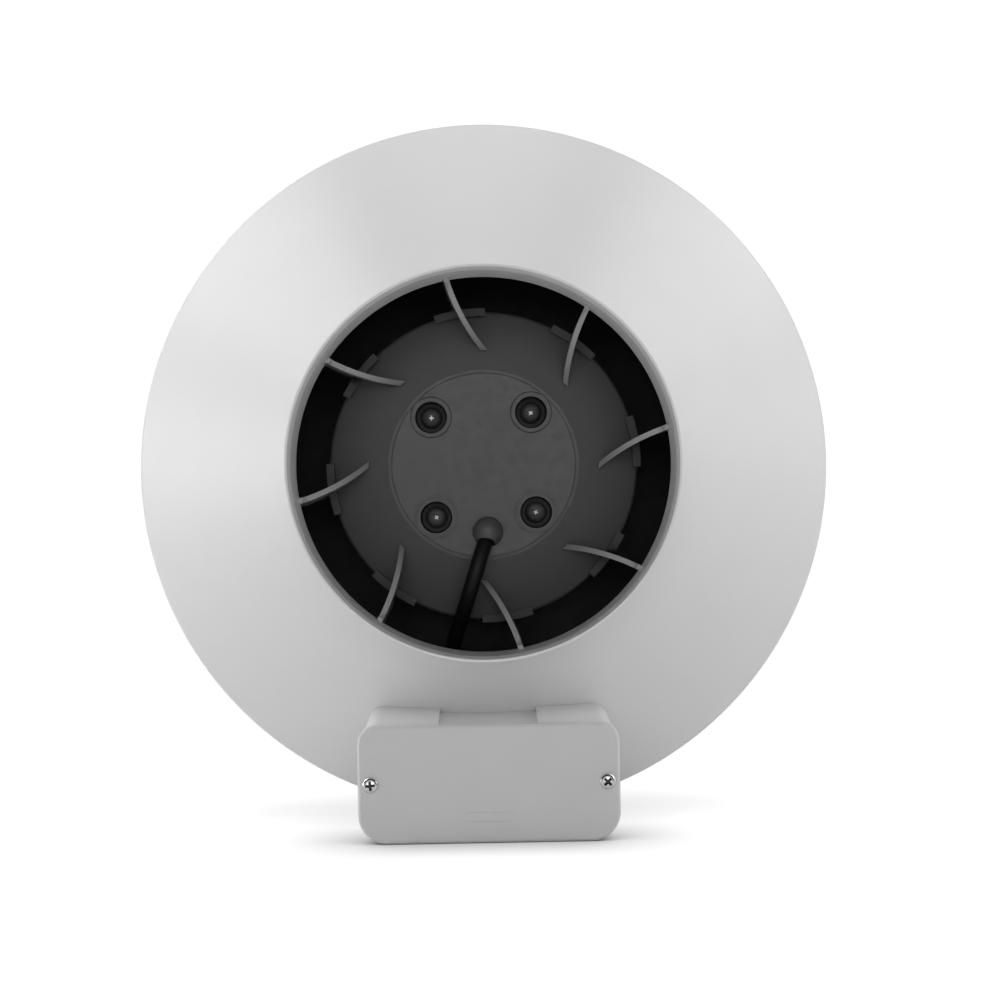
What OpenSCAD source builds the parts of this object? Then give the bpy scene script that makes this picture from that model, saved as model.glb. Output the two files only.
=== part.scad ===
// Inline duct fan. A plastic casing in two halves holds an external-rotor motor on eight guide
// vanes. The motor's rotor carries a backward-curved impeller, and a junction box under the
// outlet half takes the supply cord. The fan stands on the box and on the casing's rim.
//
// Frame: the fan's axis is Y, the outlet faces -Y, +Z is up, and the origin is the centre of the
// outlet spigot's mouth. "Depth" is the distance behind that mouth, along +Y.

/* [Duct] */
// Outer diameter of both spigots
spigot_d = 149; // [148:0.5:150]
// Wall of the spigots
spigot_wall = 2; // [1.6:0.1:2.2]
// Length of the outlet spigot
outlet_spigot_len = 27; // [24:0.5:27]
// Length of the inlet spigot
inlet_spigot_len = 24; // [20:0.5:30]

/* [Casing] */
// Largest diameter of the casing
casing_d = 286; // [284:0.5:288]
// Overall length, mouth to mouth
casing_len = 198; // [197:0.5:202]
// Wall of the casing's cones and rim
casing_wall = 2.5; // [2.2:0.1:2.8]
// Slope of the cones, measured from a plane across the axis
cone_angle = 41.6; // [41:0.1:42]
// Rounding where a cone meets the rim
edge_r = 4; // [2:0.5:5]

/* [Guide vanes] */
// Number of vanes
vane_count = 8; // [8]
// Angle of the first vane's outer end, up from the right-hand side of the outlet
vane_angle = 10.5; // [9:0.1:12]
// Thickness of a vane
vane_wall = 2; // [1.6:0.1:2.4]

/* [Motor plate] */
// Diameter of the plate's rim
plate_d = 122; // [121:0.5:123]
// Diameter of the flat in its middle
plate_flat_d = 72.6; // [72:0.1:73]
// Depth of that flat
plate_depth = 40; // [39.5:0.1:40]
// Distance from the axis to each motor screw
screw_pitch_r = 27.8; // [27.5:0.1:28]

/* [Impeller] */
// Diameter of the impeller
impeller_d = 190; // [184:1:192]
// Number of blades
blade_count = 7; // [5:1:9]
// Blade angle at the inlet edge
blade_in_angle = 30; // [26:1:34]
// Blade angle at the outlet edge
blade_out_angle = 40; // [38:1:44]

/* [Junction box] */
// Width of the lid
lid_w = 99; // [98:0.5:100]
// Level of the lid's top edge below the fan's axis
lid_top = 98.5; // [98:0.1:99]
// Depth of the lid's front face
lid_depth = 7; // [6.5:0.1:7.5]
// Walls of the box
box_wall = 2.5; // [2.2:0.1:2.6]

/* [Hidden] */

$fn = 96;
touch = 0.05;   // gap between pieces that rest on each other
slack = 0.1;    // gap between pieces that slot together
lip = 0.5;      // bevel on a moulded edge

light_plastic = [0.84, 0.84, 0.85];
lid_plastic = [0.72, 0.72, 0.73];
plate_plastic = [0.3, 0.3, 0.31];
black_plastic = [0.1, 0.1, 0.11];
white_plastic = [0.9, 0.9, 0.88];
rubber = [0.07, 0.07, 0.07];
steel = [0.6, 0.61, 0.63];
zinc = [0.75, 0.76, 0.78];
copper = [0.72, 0.42, 0.2];

// Casing
spigot_r = spigot_d / 2;
spigot_in = spigot_r - spigot_wall;
casing_r = casing_d / 2;
casing_in = casing_r - casing_wall;
edge_run = edge_r * tan((90 - cone_angle) / 2);
seam_depth = 98;
lap_r = casing_in + casing_wall / 2;
lap_len = 4;
seal_wall = 1;

// Motor plate
plate_r = plate_d / 2;
plate_flat_r = plate_flat_d / 2;
plate_slope = 0.4;
plate_groove = 0.4;          // width and depth of the fine grooves in the plate's face
plate_band = [1.2, 0.15];   // width and fall of the band round the flat
plate_wall = 2.5;
plate_back = 60;
well_r = 8.2;
well_hole_r = 6.3;
well_floor = 51.5;
screw_turn = 43;
tab_r = plate_r + 1.3;
tab_half_angle = 9.5;
tab_offset = 2.4;            // how far a tab's middle is turned from its vane's outer end
tab_front = 46;
hood_r = 6;
hood_centre = [1.2, 26.3, plate_depth - 0.5];
hood_bore_from = [1.2, 18, 47];
hood_bore_to = [0.2, 34, 34.2];
hood_bore_gap = 0.5;
bush_top = 46;
bush_hole_r = 2.1;

// Guide vanes: each is part of a cylinder about an axis parallel to the fan's
vane_bend_r = 78;
vane_bend_centre = [82.15, 77.4];
vane_inner_r = 45.3;
vane_slot_r = 59.2;
vane_outer_r = 105;
vane_back = 75;
vane_rib_start = 6;         // where a vane's front edge leaves the spigot's wall
vane_rib_foot = [70, 27];   // radius and depth where the edge turns in towards the plate

// Motor
flange_depth = 54;
flange_wall = 5;
flange_r = 40;
tube_r = 12.6;
tube_end = 112;
core_depth = 72;
core_len = 30;
stator_r = 34;
stator_slots = 12;
rotor_in = 34.5;
rotor_r = 43.5;
can_r = 46;
can_front = 64;
can_end = 118;
can_wall = 3;
shaft_r = 4;
shaft_front = 57;
shaft_hole_r = shaft_r + 0.02;
bar_count = 28;
bar_r = 1.2;
bar_pitch_r = 36.8;

// Deep-groove bearings, 8 x 22 x 7
bearing_r = 11;
bearing_len = 7;
ball_r = 1.98;
ball_count = 7;
ball_pitch_r = 7.75;
groove_r = 2.03;
land = 1.45;
front_bearing = 62;
rear_bearing = 103;

// Impeller
impeller_r = impeller_d / 2;
backplate_depth = 86;
backplate_wall = 2.5;
hub_wall = 2.25;
hub_front = 84;
hub_end = 121;
blade_inner_r = 56;
blade_outer_r = impeller_r - 0.5;
blade_wall = 2;
// A blade follows an arc that leaves its inlet and outlet edges at the two blade angles
blade_bend_r = (pow(blade_outer_r, 2) - pow(blade_inner_r, 2))
    / (2 * (blade_outer_r * cos(blade_out_angle) - blade_inner_r * cos(blade_in_angle)));
blade_bend_centre = [blade_inner_r - blade_bend_r * cos(blade_in_angle), blade_bend_r * sin(blade_in_angle)];
eye_r = 61;
shroud_wall = 2;
shroud_bend_r = 12;
shroud_tilt = 15.6;
shroud_bend = [eye_r + shroud_bend_r, 151.6];
shroud_run = impeller_r - shroud_bend[0] + shroud_bend_r * sin(shroud_tilt);
shroud_edge = shroud_bend[1] - shroud_bend_r * cos(shroud_tilt) - shroud_run * tan(shroud_tilt);
fixing_pitch_r = 30;

// Inlet ring
throat_r = 57;
throat_lip = 146;
ring_wall = 2;
bell_r = 18;
bell_centre = [throat_r + bell_r, 158];
ring_flange_r = 86;
ring_flange_depth = 160;
ring_screw_r = 80;

// Junction box. Its own levels are heights below the axis, so they are negative.
lid_bottom = -casing_r;
lid_wall = 2.5;
lid_back = lid_depth + 5;
lid_chamfer = 1.2;
box_seal_wall = 0.6;
base_front = lid_back + box_seal_wall;
base_back = 84;
base_half_w = lid_w / 2 - 1.5;
base_top = 2.5 - lid_top;      // at this depth, on a top that slopes up from the front
base_top_depth = 46;
base_front_top = -lid_top - 0.1;
recess_half_w = 19;
recess_drop = 2;
floor_level = lid_bottom + box_wall;
lid_screw_x = 44.7;
lid_screw_z = -120.5;
lid_boss_back = 24;
box_screw_x = 34;
box_screw_z = -108;
box_boss_depth = 53;
entry_depth = 38;
entry_z = -112;
entry_r = 4.2;
entry_hole_r = 6;
clamp_x = -34.5;
clamp_half = [3.5, 9];
clamp_screw_run = 6.5;
terminal_x = [-19.5, -6, 7.5];
terminal_from = [-26, 16, -138];
terminal_size = [40, 16, 16];
terminal_hole_z = -131;
capacitor_r = 12.5;
capacitor_axis = [50.5, -126];
capacitor_from = -10;
capacitor_len = 50;

// The lead crosses the casing's wall at this radius and this far round from the lowest point
lead_r = 3;
lead_hole_r = 4.5;
lead_cross_r = 116.2;
lead_cross_turn = 9.7;

// Route of the motor lead: out of the motor's flange, through the plate's hood, down over the
// plate's rim, through the gap between two vanes, along the inside of the cone and into the box
lead_route = [
    [1.6, 62.5, -15.8], [1.6, 58, -15.8], [1.6, 54.5, -15.8], [1.5, 51.2, -16.4], [1.4, 47.7, -18],
    [1.2, 44.9, -20.6], [0.9, 41.1, -25.3], [0.4, 38.2, -29], [-0.8, 35.6, -32.8], [-2.2, 33.9, -37],
    [-3.8, 33.3, -42], [-5.4, 33.9, -47], [-7, 35.9, -52], [-8.6, 39.2, -56.8], [-10.2, 43.4, -61.3],
    [-11.8, 48.4, -66], [-13.2, 53.8, -70.8], [-14.4, 59.2, -75.4], [-15.2, 64.5, -80],
    [-16, 69.6, -84.8], [-16.6, 73.8, -89.8], [-17.2, 76.3, -95.1], [-17.6, 76.4, -99.6],
    [-18, 74.9, -103.9], [-18.4, 72.1, -107.5], [-19.5, 64, -114.5], [-20.5, 57.3, -120.4]];

// Routes of the wires in the box
wire_r = 0.9;
brown_route = [[-19.2, 56.1, -119.8], [-18.8, 52.6, -122.8], [-18.9, 47, -127.3], [-19.2, 41.5, -130.3],
    [-19.5, 36.5, -131], [-19.5, 32, -131]];
blue_route = [[-19.3, 57.6, -121.7], [-18, 54.4, -125.6], [-16.4, 49, -131.5], [-13.5, 43, -134.3],
    [-9.6, 38.2, -133.5], [-6.6, 35.6, -131.4], [-6, 33.8, -131], [-6, 32, -131]];
black_route = [[-21.8, 56.1, -119.9], [-22, 53, -121.2], [-20.4, 49.8, -119.8], [-16.5, 48.5, -119],
    [-13, 48.5, -119]];
earth_route = [[-22, 57.5, -121.8], [-22, 54, -127], [-20.4, 48.5, -134], [-15.5, 42, -137.6],
    [-9, 36.5, -137.7], [-2, 35.2, -136.8], [5, 35.6, -133.8], [7.4, 34.9, -131.4], [7.5, 33.6, -131],
    [7.5, 32, -131]];
capacitor_route = [[-13, 48.5, -130], [-14.6, 48.5, -130], [-17, 46.6, -130.6], [-19.6, 44, -133],
    [-21.8, 40.2, -134], [-22.9, 36.4, -133.3], [-23, 34.2, -133], [-23, 32, -133]];

// ---- geometry helpers ----

function unit(v) = v / norm(v);

// Points of an arc about c, from one angle to the other
function arc(c, r, from, to, steps = 6) =
    [for (i = [0:steps]) let (a = from + (to - from) * i / steps) c + r * [cos(a), sin(a)]];

// Depth of the outlet cone at a radius, a distance under its outer face
function cone_depth(r, under = 0) =
    outlet_spigot_len + (r - spigot_r) * tan(cone_angle) + under / cos(cone_angle);

// The same for the inlet cone, which faces the other way
function inlet_cone_depth(r, under = 0) =
    casing_len - inlet_spigot_len - (r - spigot_r) * tan(cone_angle) - under / cos(cone_angle);

// Depth of the motor plate's sloping face
function plate_face(r) =
    plate_depth + plate_groove + plate_band[1] + (r - plate_flat_r - plate_band[0]) * plate_slope;

// Lays a piece drawn along Z on the fan's axis: its X points right, its Y down and its Z back
module along_axis() {
    rotate([-90, 0, 0]) children();
}

// A piece turned about the fan's axis, from [radius, depth] points
module turned(outline) {
    rotate_extrude() polygon(outline);
}

// Copies on a circle
module around(count, r, first = 0) {
    for (i = [0:count - 1])
        rotate(first + i * 360 / count) translate([r, 0, 0]) children();
}

// A round bar from one point to another
module rod(from, to, r) {
    way = to - from;
    translate(from)
        rotate([0, acos(way.z / norm(way)), atan2(way.y, way.x)])
            cylinder(h = norm(way), r = r);
}

// A [x, z] outline carried along Y between two depths
module prism_y(from, to) {
    translate([0, to, 0]) rotate([90, 0, 0]) linear_extrude(to - from) children();
}

// A [y, z] outline carried along X, centred on the box
module prism_x(width) {
    rotate([90, 0, 90]) linear_extrude(width, center = true) children();
}

// A cable of radius r, with one ring of points at each point of its route
module cable(route, r, sides, across = [1, 0, 0]) {
    last = len(route) - 1;
    rings = [for (i = [0:last])
        let (way = unit(route[min(i + 1, last)] - route[max(i - 1, 0)]),
             u = unit(cross(across, way)),
             v = cross(way, u))
        for (k = [0:sides - 1])
            route[i] + r * (cos(k * 360 / sides) * u + sin(k * 360 / sides) * v)];
    walls = [for (i = [0:last - 1], k = [0:sides - 1])
        let (a = i * sides + k, b = i * sides + (k + 1) % sides)
        each [[a, a + sides, b + sides], [a, b + sides, b]]];
    ends = [[for (k = [0:sides - 1]) k], [for (k = [sides - 1:-1:0]) last * sides + k]];
    polyhedron(rings, concat(walls, ends));
}

// A pan-head screw with a cross recess, its head's seat at z = 0 and its point towards +z
module pan_screw(head_r, head_h, shank_r, len) {
    recess = head_r * 1.05;
    difference() {
        union() {
            rotate_extrude() polygon(concat([[0, 0], [head_r, 0]],
                arc([head_r * 0.5, -head_h * 0.35], head_r * 0.5, 0, -75, 4), [[0, -head_h]]));
            translate([0, 0, -touch]) cylinder(h = len + touch, r = shank_r);
        }
        for (turn = [0, 90])
            rotate(turn) translate([-recess / 2, -head_r * 0.14, -head_h - 1])
                cube([recess, head_r * 0.28, 1 + head_h * 0.65]);
    }
}

// ---- casing ----

module lead_hole(r) {
    rotate(90 + lead_cross_turn) translate([lead_cross_r, 0, cone_depth(lead_cross_r)])
        rotate([0, 180 - cone_angle, 0]) translate([0, 0, -8]) cylinder(h = 16, r = r);
}

module outlet_casing() {
    outline = concat(
        [[spigot_in + lip, 0], [spigot_r, 0], [spigot_r, outlet_spigot_len]],
        arc([casing_r - edge_r, cone_depth(casing_r) + edge_run], edge_r, cone_angle - 90, 0),
        [[casing_r, seam_depth - lip], [casing_r - lip, seam_depth], [lap_r, seam_depth],
         [lap_r, seam_depth + lap_len],
         [casing_in, seam_depth + lap_len], [casing_in, cone_depth(casing_in, casing_wall)],
         [spigot_in, cone_depth(spigot_in, casing_wall)], [spigot_in, lip]]);
    boss_end = 78;
    boss_zone = [[100, cone_depth(100, 1)], [130, cone_depth(130, 1)], [130, boss_end], [100, boss_end]];
    color(light_plastic) along_axis() difference() {
        union() {
            turned(outline);
            for (side = [-1, 1]) intersection() {
                turned(boss_zone);
                translate([side * box_screw_x, -box_screw_z, 50]) cylinder(h = 30, r = 4);
            }
        }
        for (side = [-1, 1])
            translate([side * box_screw_x, -box_screw_z, 50]) cylinder(h = 26, r = 1.8);
        lead_hole(lead_hole_r);
    }
}

// The sheet that a vane is cut from, `extra` thicker on each side
module vane_sheet(extra = 0) {
    translate([vane_bend_centre.x, vane_bend_centre.y, 20]) difference() {
        cylinder(h = 60, r = vane_bend_r + vane_wall / 2 + extra);
        translate([0, 0, -1]) cylinder(h = 62, r = vane_bend_r - vane_wall / 2 - extra);
    }
}

module guide_vanes() {
    outline = [
        [vane_inner_r, 42.5], [vane_rib_foot[0], vane_rib_foot[1]], [spigot_in - touch, vane_rib_start],
        [spigot_in - touch, cone_depth(spigot_in, casing_wall + touch)],
        [vane_outer_r, cone_depth(vane_outer_r, casing_wall + touch)], [98, vane_back],
        [vane_slot_r, vane_back], [vane_slot_r, plate_face(vane_slot_r) - slack],
        [vane_inner_r, plate_face(vane_inner_r) - slack]];
    color(light_plastic) along_axis()
        for (i = [0:vane_count - 1])
            rotate(-vane_angle - i * 360 / vane_count) intersection() {
                vane_sheet();
                rotate(-20) rotate_extrude(angle = 45) polygon(outline);
            }
}

module inlet_casing() {
    seam_end = seam_depth + lap_len + seal_wall;
    outline = concat(
        [[lap_r + slack, seam_depth], [casing_r - lip, seam_depth], [casing_r, seam_depth + lip]],
        arc([casing_r - edge_r, inlet_cone_depth(casing_r) - edge_run], edge_r, 0, 90 - cone_angle),
        [[spigot_r, casing_len - inlet_spigot_len], [spigot_r, casing_len],
         [spigot_in + lip, casing_len], [spigot_in, casing_len - lip],
         [spigot_in, inlet_cone_depth(spigot_in, casing_wall)],
         [casing_in, inlet_cone_depth(casing_in, casing_wall)],
         [casing_in, seam_end], [lap_r + slack, seam_end]]);
    boss_zone = [[72, ring_flange_depth + touch], [90, ring_flange_depth + touch],
        [90, inlet_cone_depth(90, 1)], [72, inlet_cone_depth(72, 1)]];
    color(light_plastic) along_axis() difference() {
        union() {
            turned(outline);
            intersection() {
                turned(boss_zone);
                around(4, ring_screw_r, 45) translate([0, 0, 155]) cylinder(h = 20, r = 3.5);
            }
        }
        around(4, ring_screw_r, 45) translate([0, 0, 155]) cylinder(h = 11, r = 1.5);
    }
}

module casing_seal() {
    from = seam_depth + lap_len;
    color(rubber) along_axis()
        turned([[casing_in, from], [lap_r, from],
            [lap_r, from + seal_wall], [casing_in, from + seal_wall]]);
}

module inlet_ring() {
    flange_front = ring_flange_depth - ring_wall;
    color(black_plastic) along_axis() difference() {
        union() {
            turned(concat([[throat_r, throat_lip]],
                arc(bell_centre, bell_r, 180, 100, 8),
                arc(bell_centre, bell_r - ring_wall, 100, 180, 8),
                [[throat_r + ring_wall, throat_lip]]));
            turned([[throat_r + 1, flange_front], [ring_flange_r, flange_front],
                [ring_flange_r, ring_flange_depth], [throat_r + 1, ring_flange_depth]]);
        }
        around(4, ring_screw_r, 45) translate([0, 0, flange_front - 1]) cylinder(h = 4, r = 1.7);
    }
}

module inlet_ring_screws() {
    color(zinc) along_axis() around(4, ring_screw_r, 45)
        translate([0, 0, ring_flange_depth - ring_wall - touch]) pan_screw(3, 2.2, 1.45, 7.5);
}

// ---- motor mounting ----

module motor_plate() {
    outline = [
        [0, plate_depth], [plate_flat_r - plate_groove, plate_depth],
        [plate_flat_r - plate_groove, plate_depth + plate_groove],
        [plate_flat_r, plate_depth + plate_groove],
        [plate_flat_r + plate_band[0], plate_face(plate_flat_r + plate_band[0])],
        [plate_r - 0.8, plate_face(plate_r - 0.8)], [plate_r, plate_face(plate_r) + 0.6],
        [plate_r, plate_back], [plate_r - plate_wall, plate_back],
        [plate_r - plate_wall, plate_face(plate_r - plate_wall) + plate_wall],
        [plate_flat_r - 0.5, plate_depth + plate_wall], [0, plate_depth + plate_wall]];
    tab = [[vane_slot_r, tab_front], [tab_r, tab_front + 1],
        [tab_r, plate_back], [vane_slot_r, plate_back]];
    slot = [[vane_slot_r - slack, 40], [66, 40], [66, plate_back + 1],
        [vane_slot_r - slack, plate_back + 1]];
    color(plate_plastic) along_axis() difference() {
        union() {
            turned(outline);
            around(4, screw_pitch_r, screw_turn) translate([0, 0, plate_depth - 0.4])
                cylinder(h = flange_depth - plate_depth + 0.4 - touch, r = well_r);
            for (i = [0:vane_count - 1])
                rotate(-vane_angle + tab_offset - tab_half_angle - i * 360 / vane_count)
                    rotate_extrude(angle = 2 * tab_half_angle) polygon(tab);
            intersection() {
                translate(hood_centre) sphere(r = hood_r);
                translate([0, 0, plate_depth - 10])
                    cylinder(h = 10 + plate_wall - slack, r = plate_flat_r + 4);
            }
        }
        around(4, screw_pitch_r, screw_turn) {
            translate([0, 0, plate_depth - 1]) cylinder(h = well_floor - plate_depth + 1, r = well_hole_r);
            cylinder(h = 60, r = 2.3);
            turned([[well_r - plate_groove, plate_depth - 2], [well_r, plate_depth - 2],
                [well_r, plate_depth + plate_groove], [well_r - plate_groove, plate_depth + plate_groove]]);
        }
        rod(hood_bore_from, hood_bore_to, lead_r + hood_bore_gap);
        for (i = [0:vane_count - 1])
            rotate(-vane_angle - i * 360 / vane_count) intersection() {
                vane_sheet(slack);
                rotate(-20) rotate_extrude(angle = 45) polygon(slot);
            }
    }
}

// Rubber bushes between the plate's wells and the screws' heads
module plate_bushes() {
    color(rubber) along_axis() around(4, screw_pitch_r, screw_turn)
        turned([[bush_hole_r, bush_top], [5.6, bush_top], [well_hole_r - slack, bush_top - 1],
            [well_hole_r - slack, well_floor - touch], [bush_hole_r, well_floor - touch]]);
}

module motor_screws() {
    color([0.2, 0.2, 0.21]) along_axis() around(4, screw_pitch_r, screw_turn)
        translate([0, 0, bush_top - touch]) rotate(20) pan_screw(4.2, 2.6, 2, 14);
}

// Flange and bearing tube, cast in one
module motor_flange() {
    ledge_r = 9.6;
    color(steel) along_axis() difference() {
        turned([
            [bearing_r, flange_depth], [flange_r, flange_depth], [flange_r, flange_depth + flange_wall],
            [tube_r, flange_depth + flange_wall], [tube_r, tube_end], [bearing_r, tube_end],
            [bearing_r, rear_bearing - 1], [ledge_r, rear_bearing - 1],
            [ledge_r, front_bearing + bearing_len], [bearing_r, front_bearing + bearing_len]]);
        around(4, screw_pitch_r, screw_turn) translate([0, 0, 50]) cylinder(h = 12, r = 2.05);
        translate([1.6, 15.8, 50]) cylinder(h = 10, r = lead_r + slack);
    }
}

// Section of the stator's laminations, with slots open to the rotor
module stator_section() {
    difference() {
        circle(r = stator_r);
        circle(r = tube_r + touch);
        for (i = [0:stator_slots - 1]) rotate(i * 360 / stator_slots)
            polygon([[20, -2.7], [31, -5.5], [32, -1.2], [36, -1.2],
                [36, 1.2], [32, 1.2], [31, 5.5], [20, 2.7]]);
    }
}

module stator_core() {
    color(steel) along_axis() translate([0, 0, core_depth]) linear_extrude(core_len) stator_section();
}

module stator_end_plates() {
    color(white_plastic) along_axis() for (from = [core_depth - 1, core_depth + core_len])
        translate([0, 0, from]) linear_extrude(1) stator_section();
}

// Coil sides in the slots, the end turns that join them and the tail to the lead
module stator_windings() {
    front = 62.6;
    back = 110.6;
    function end_turns(from, to) = concat(
        arc([22.4, from + 2], 2, 270, 180, 3), arc([22.4, to - 2], 2, 180, 90, 3),
        arc([28.7, to - 2], 2, 90, 0, 3), arc([28.7, from + 2], 2, 0, -90, 3));
    color(copper) along_axis() {
        turned(end_turns(front, core_depth - 1.1));
        turned(end_turns(core_depth + core_len + 1.1, back));
        for (i = [0:stator_slots - 1]) rotate(i * 360 / stator_slots)
            translate([0, 0, front + 4]) linear_extrude(back - front - 8)
                polygon([[20.6, -2.4], [30.5, -4.9], [30.5, 4.9], [20.6, 2.4]]);
        translate([0.1, 13.6, front]) cube([3, 9, 4]);
    }
}

module thermal_cutout() {
    from = flange_depth + flange_wall + touch;
    color(black_plastic) along_axis() translate([-6, -29, from]) cube([12, 7, 62.6 - touch - from]);
}

// ---- bearings ----

module outer_ring(depth) {
    inner = ball_pitch_r + land;
    spread = acos(land / groove_r);
    color(steel) along_axis() translate([0, 0, depth]) turned(concat(
        [[bearing_r - 0.02, 0], [bearing_r - 0.02, bearing_len], [inner, bearing_len]],
        arc([ball_pitch_r, bearing_len / 2], groove_r, spread, -spread, 8), [[inner, 0]]));
}

module inner_ring(depth) {
    outer = ball_pitch_r - land;
    spread = acos(land / groove_r);
    color(steel) along_axis() translate([0, 0, depth]) turned(concat(
        [[shaft_hole_r, bearing_len], [shaft_hole_r, 0], [outer, 0]],
        arc([ball_pitch_r, bearing_len / 2], groove_r, 180 + spread, 180 - spread, 8),
        [[outer, bearing_len]]));
}

module balls(depth) {
    color(zinc) along_axis() around(ball_count, ball_pitch_r)
        translate([0, 0, depth + bearing_len / 2]) sphere(r = ball_r);
}

module ball_cage(depth) {
    color(black_plastic) along_axis() difference() {
        translate([0, 0, depth]) turned([[7.1, 1], [8.4, 1], [8.4, 6], [7.1, 6]]);
        around(ball_count, ball_pitch_r - 2) translate([0, 0, depth + bearing_len / 2])
            rotate([0, 90, 0]) cylinder(h = 4, r = ball_r + 0.06);
    }
}

module front_bearing_outer_ring() { outer_ring(front_bearing); }
module rear_bearing_outer_ring() { outer_ring(rear_bearing); }
module front_bearing_inner_ring() { inner_ring(front_bearing); }
module rear_bearing_inner_ring() { inner_ring(rear_bearing); }
module front_bearing_balls() { balls(front_bearing); }
module rear_bearing_balls() { balls(rear_bearing); }
module front_bearing_cage() { ball_cage(front_bearing); }
module rear_bearing_cage() { ball_cage(rear_bearing); }

module preload_washer() {
    from = rear_bearing - 1 + touch;
    to = rear_bearing - touch;
    color(steel) along_axis() turned([[9.8, from], [10.9, from], [10.9, to], [9.8, to]]);
}

// ---- rotor ----

module rotor_can() {
    color(steel) along_axis() difference() {
        turned([
            [shaft_hole_r, rear_bearing + bearing_len + touch], [5.9, rear_bearing + bearing_len + touch],
            [5.9, can_end - can_wall], [rotor_r + 0.02, can_end - can_wall], [rotor_r + 0.02, can_front],
            [can_r - 0.6, can_front], [can_r, can_front + 0.6], [can_r, can_end], [shaft_hole_r, can_end]]);
        around(4, fixing_pitch_r, 45) translate([0, 0, can_end - can_wall - 1]) cylinder(h = 6, r = 1.8);
    }
}

module rotor_core() {
    color([0.5, 0.5, 0.5]) along_axis() difference() {
        translate([0, 0, core_depth])
            turned([[rotor_in, 0], [rotor_r, 0], [rotor_r, core_len], [rotor_in, core_len]]);
        around(bar_count, bar_pitch_r)
            translate([0, 0, core_depth - 1]) cylinder(h = core_len + 2, r = bar_r + touch);
    }
}

// Squirrel cage: end rings joined by the bars through the rotor's laminations
module rotor_cage() {
    ring = [[35, 0], [42, 0], [42, 3], [35, 3]];
    color([0.8, 0.81, 0.82]) along_axis() {
        translate([0, 0, core_depth - 3 - touch]) turned(ring);
        translate([0, 0, core_depth + core_len + touch]) turned(ring);
        around(bar_count, bar_pitch_r)
            translate([0, 0, core_depth - 1]) cylinder(h = core_len + 2, r = bar_r);
    }
}

module shaft() {
    groove = [front_bearing - 1.1, front_bearing - 0.02];
    color(zinc) along_axis() turned([
        [0, shaft_front], [shaft_r - lip, shaft_front], [shaft_r, shaft_front + lip],
        [shaft_r, groove[0]], [3.4, groove[0]], [3.4, groove[1]], [shaft_r, groove[1]],
        [shaft_r, can_end], [0, can_end]]);
}

module shaft_circlip() {
    from = front_bearing - 1.05;
    color(black_plastic) along_axis() difference() {
        turned([[3.45, from], [6, from], [6, front_bearing - touch], [3.45, front_bearing - touch]]);
        translate([-1, 0, from - 1]) cube([2, 8, 3]);
    }
}

// ---- impeller ----

module blade() {
    root = backplate_depth + backplate_wall - 0.5;
    outline = concat(
        [[blade_inner_r, root], [blade_outer_r, root], [blade_outer_r, shroud_edge - touch]],
        arc(shroud_bend, shroud_bend_r + slack, 270 - shroud_tilt, 200, 4));
    intersection() {
        translate([blade_bend_centre.x, blade_bend_centre.y, root - 1]) difference() {
            cylinder(h = 70, r = blade_bend_r + blade_wall / 2);
            translate([0, 0, -1]) cylinder(h = 72, r = blade_bend_r - blade_wall / 2);
        }
        rotate(-15) rotate_extrude(angle = 75) polygon(outline);
    }
}

module impeller() {
    hub_in = can_r + touch;
    hub_r = can_r + hub_wall;
    color(black_plastic) along_axis() difference() {
        union() {
            turned(concat(
                [[0, can_end + touch], [hub_in, can_end + touch], [hub_in, hub_front], [hub_r, hub_front],
                 [hub_r, backplate_depth], [impeller_r, backplate_depth],
                 [impeller_r, backplate_depth + backplate_wall], [hub_r, backplate_depth + backplate_wall]],
                arc([hub_r - 2, hub_end - 2], 2, 0, 90, 4), [[0, hub_end]]));
            for (i = [0:blade_count - 1]) rotate(i * 360 / blade_count) blade();
        }
        around(4, fixing_pitch_r, 45) translate([0, 0, can_end - 1]) cylinder(h = 6, r = 2);
    }
}

module impeller_shroud() {
    color(black_plastic) along_axis() turned(concat(
        [[eye_r, shroud_bend[1] + 1.4]], arc(shroud_bend, shroud_bend_r, 180, 270 - shroud_tilt, 8),
        [[impeller_r, shroud_edge], [impeller_r, shroud_edge + shroud_wall / cos(shroud_tilt)]],
        arc(shroud_bend, shroud_bend_r - shroud_wall, 270 - shroud_tilt, 180, 8),
        [[eye_r + shroud_wall, shroud_bend[1] + 1.4]]));
}

module impeller_screws() {
    color(zinc) along_axis() around(4, fixing_pitch_r, 45)
        translate([0, 0, hub_end + touch]) mirror([0, 0, 1]) pan_screw(3.6, 2.4, 1.75, 8);
}

// ---- junction box ----

// Outline of the box, seen from the front
module box_outline(half_w, top, bottom, top_r, bottom_r) {
    polygon(concat(
        arc([half_w - bottom_r, bottom + bottom_r], bottom_r, -90, 0),
        arc([half_w - top_r, top - top_r], top_r, 0, 90),
        arc([top_r - half_w, top - top_r], top_r, 90, 180),
        arc([bottom_r - half_w, bottom + bottom_r], bottom_r, 180, 270)));
}

// The space that the casing's cone takes, grown by a gap
module casing_space(gap) {
    along_axis() turned([[60, cone_depth(60, -gap)], [160, cone_depth(160, -gap)], [160, 130], [60, 130]]);
}

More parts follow.
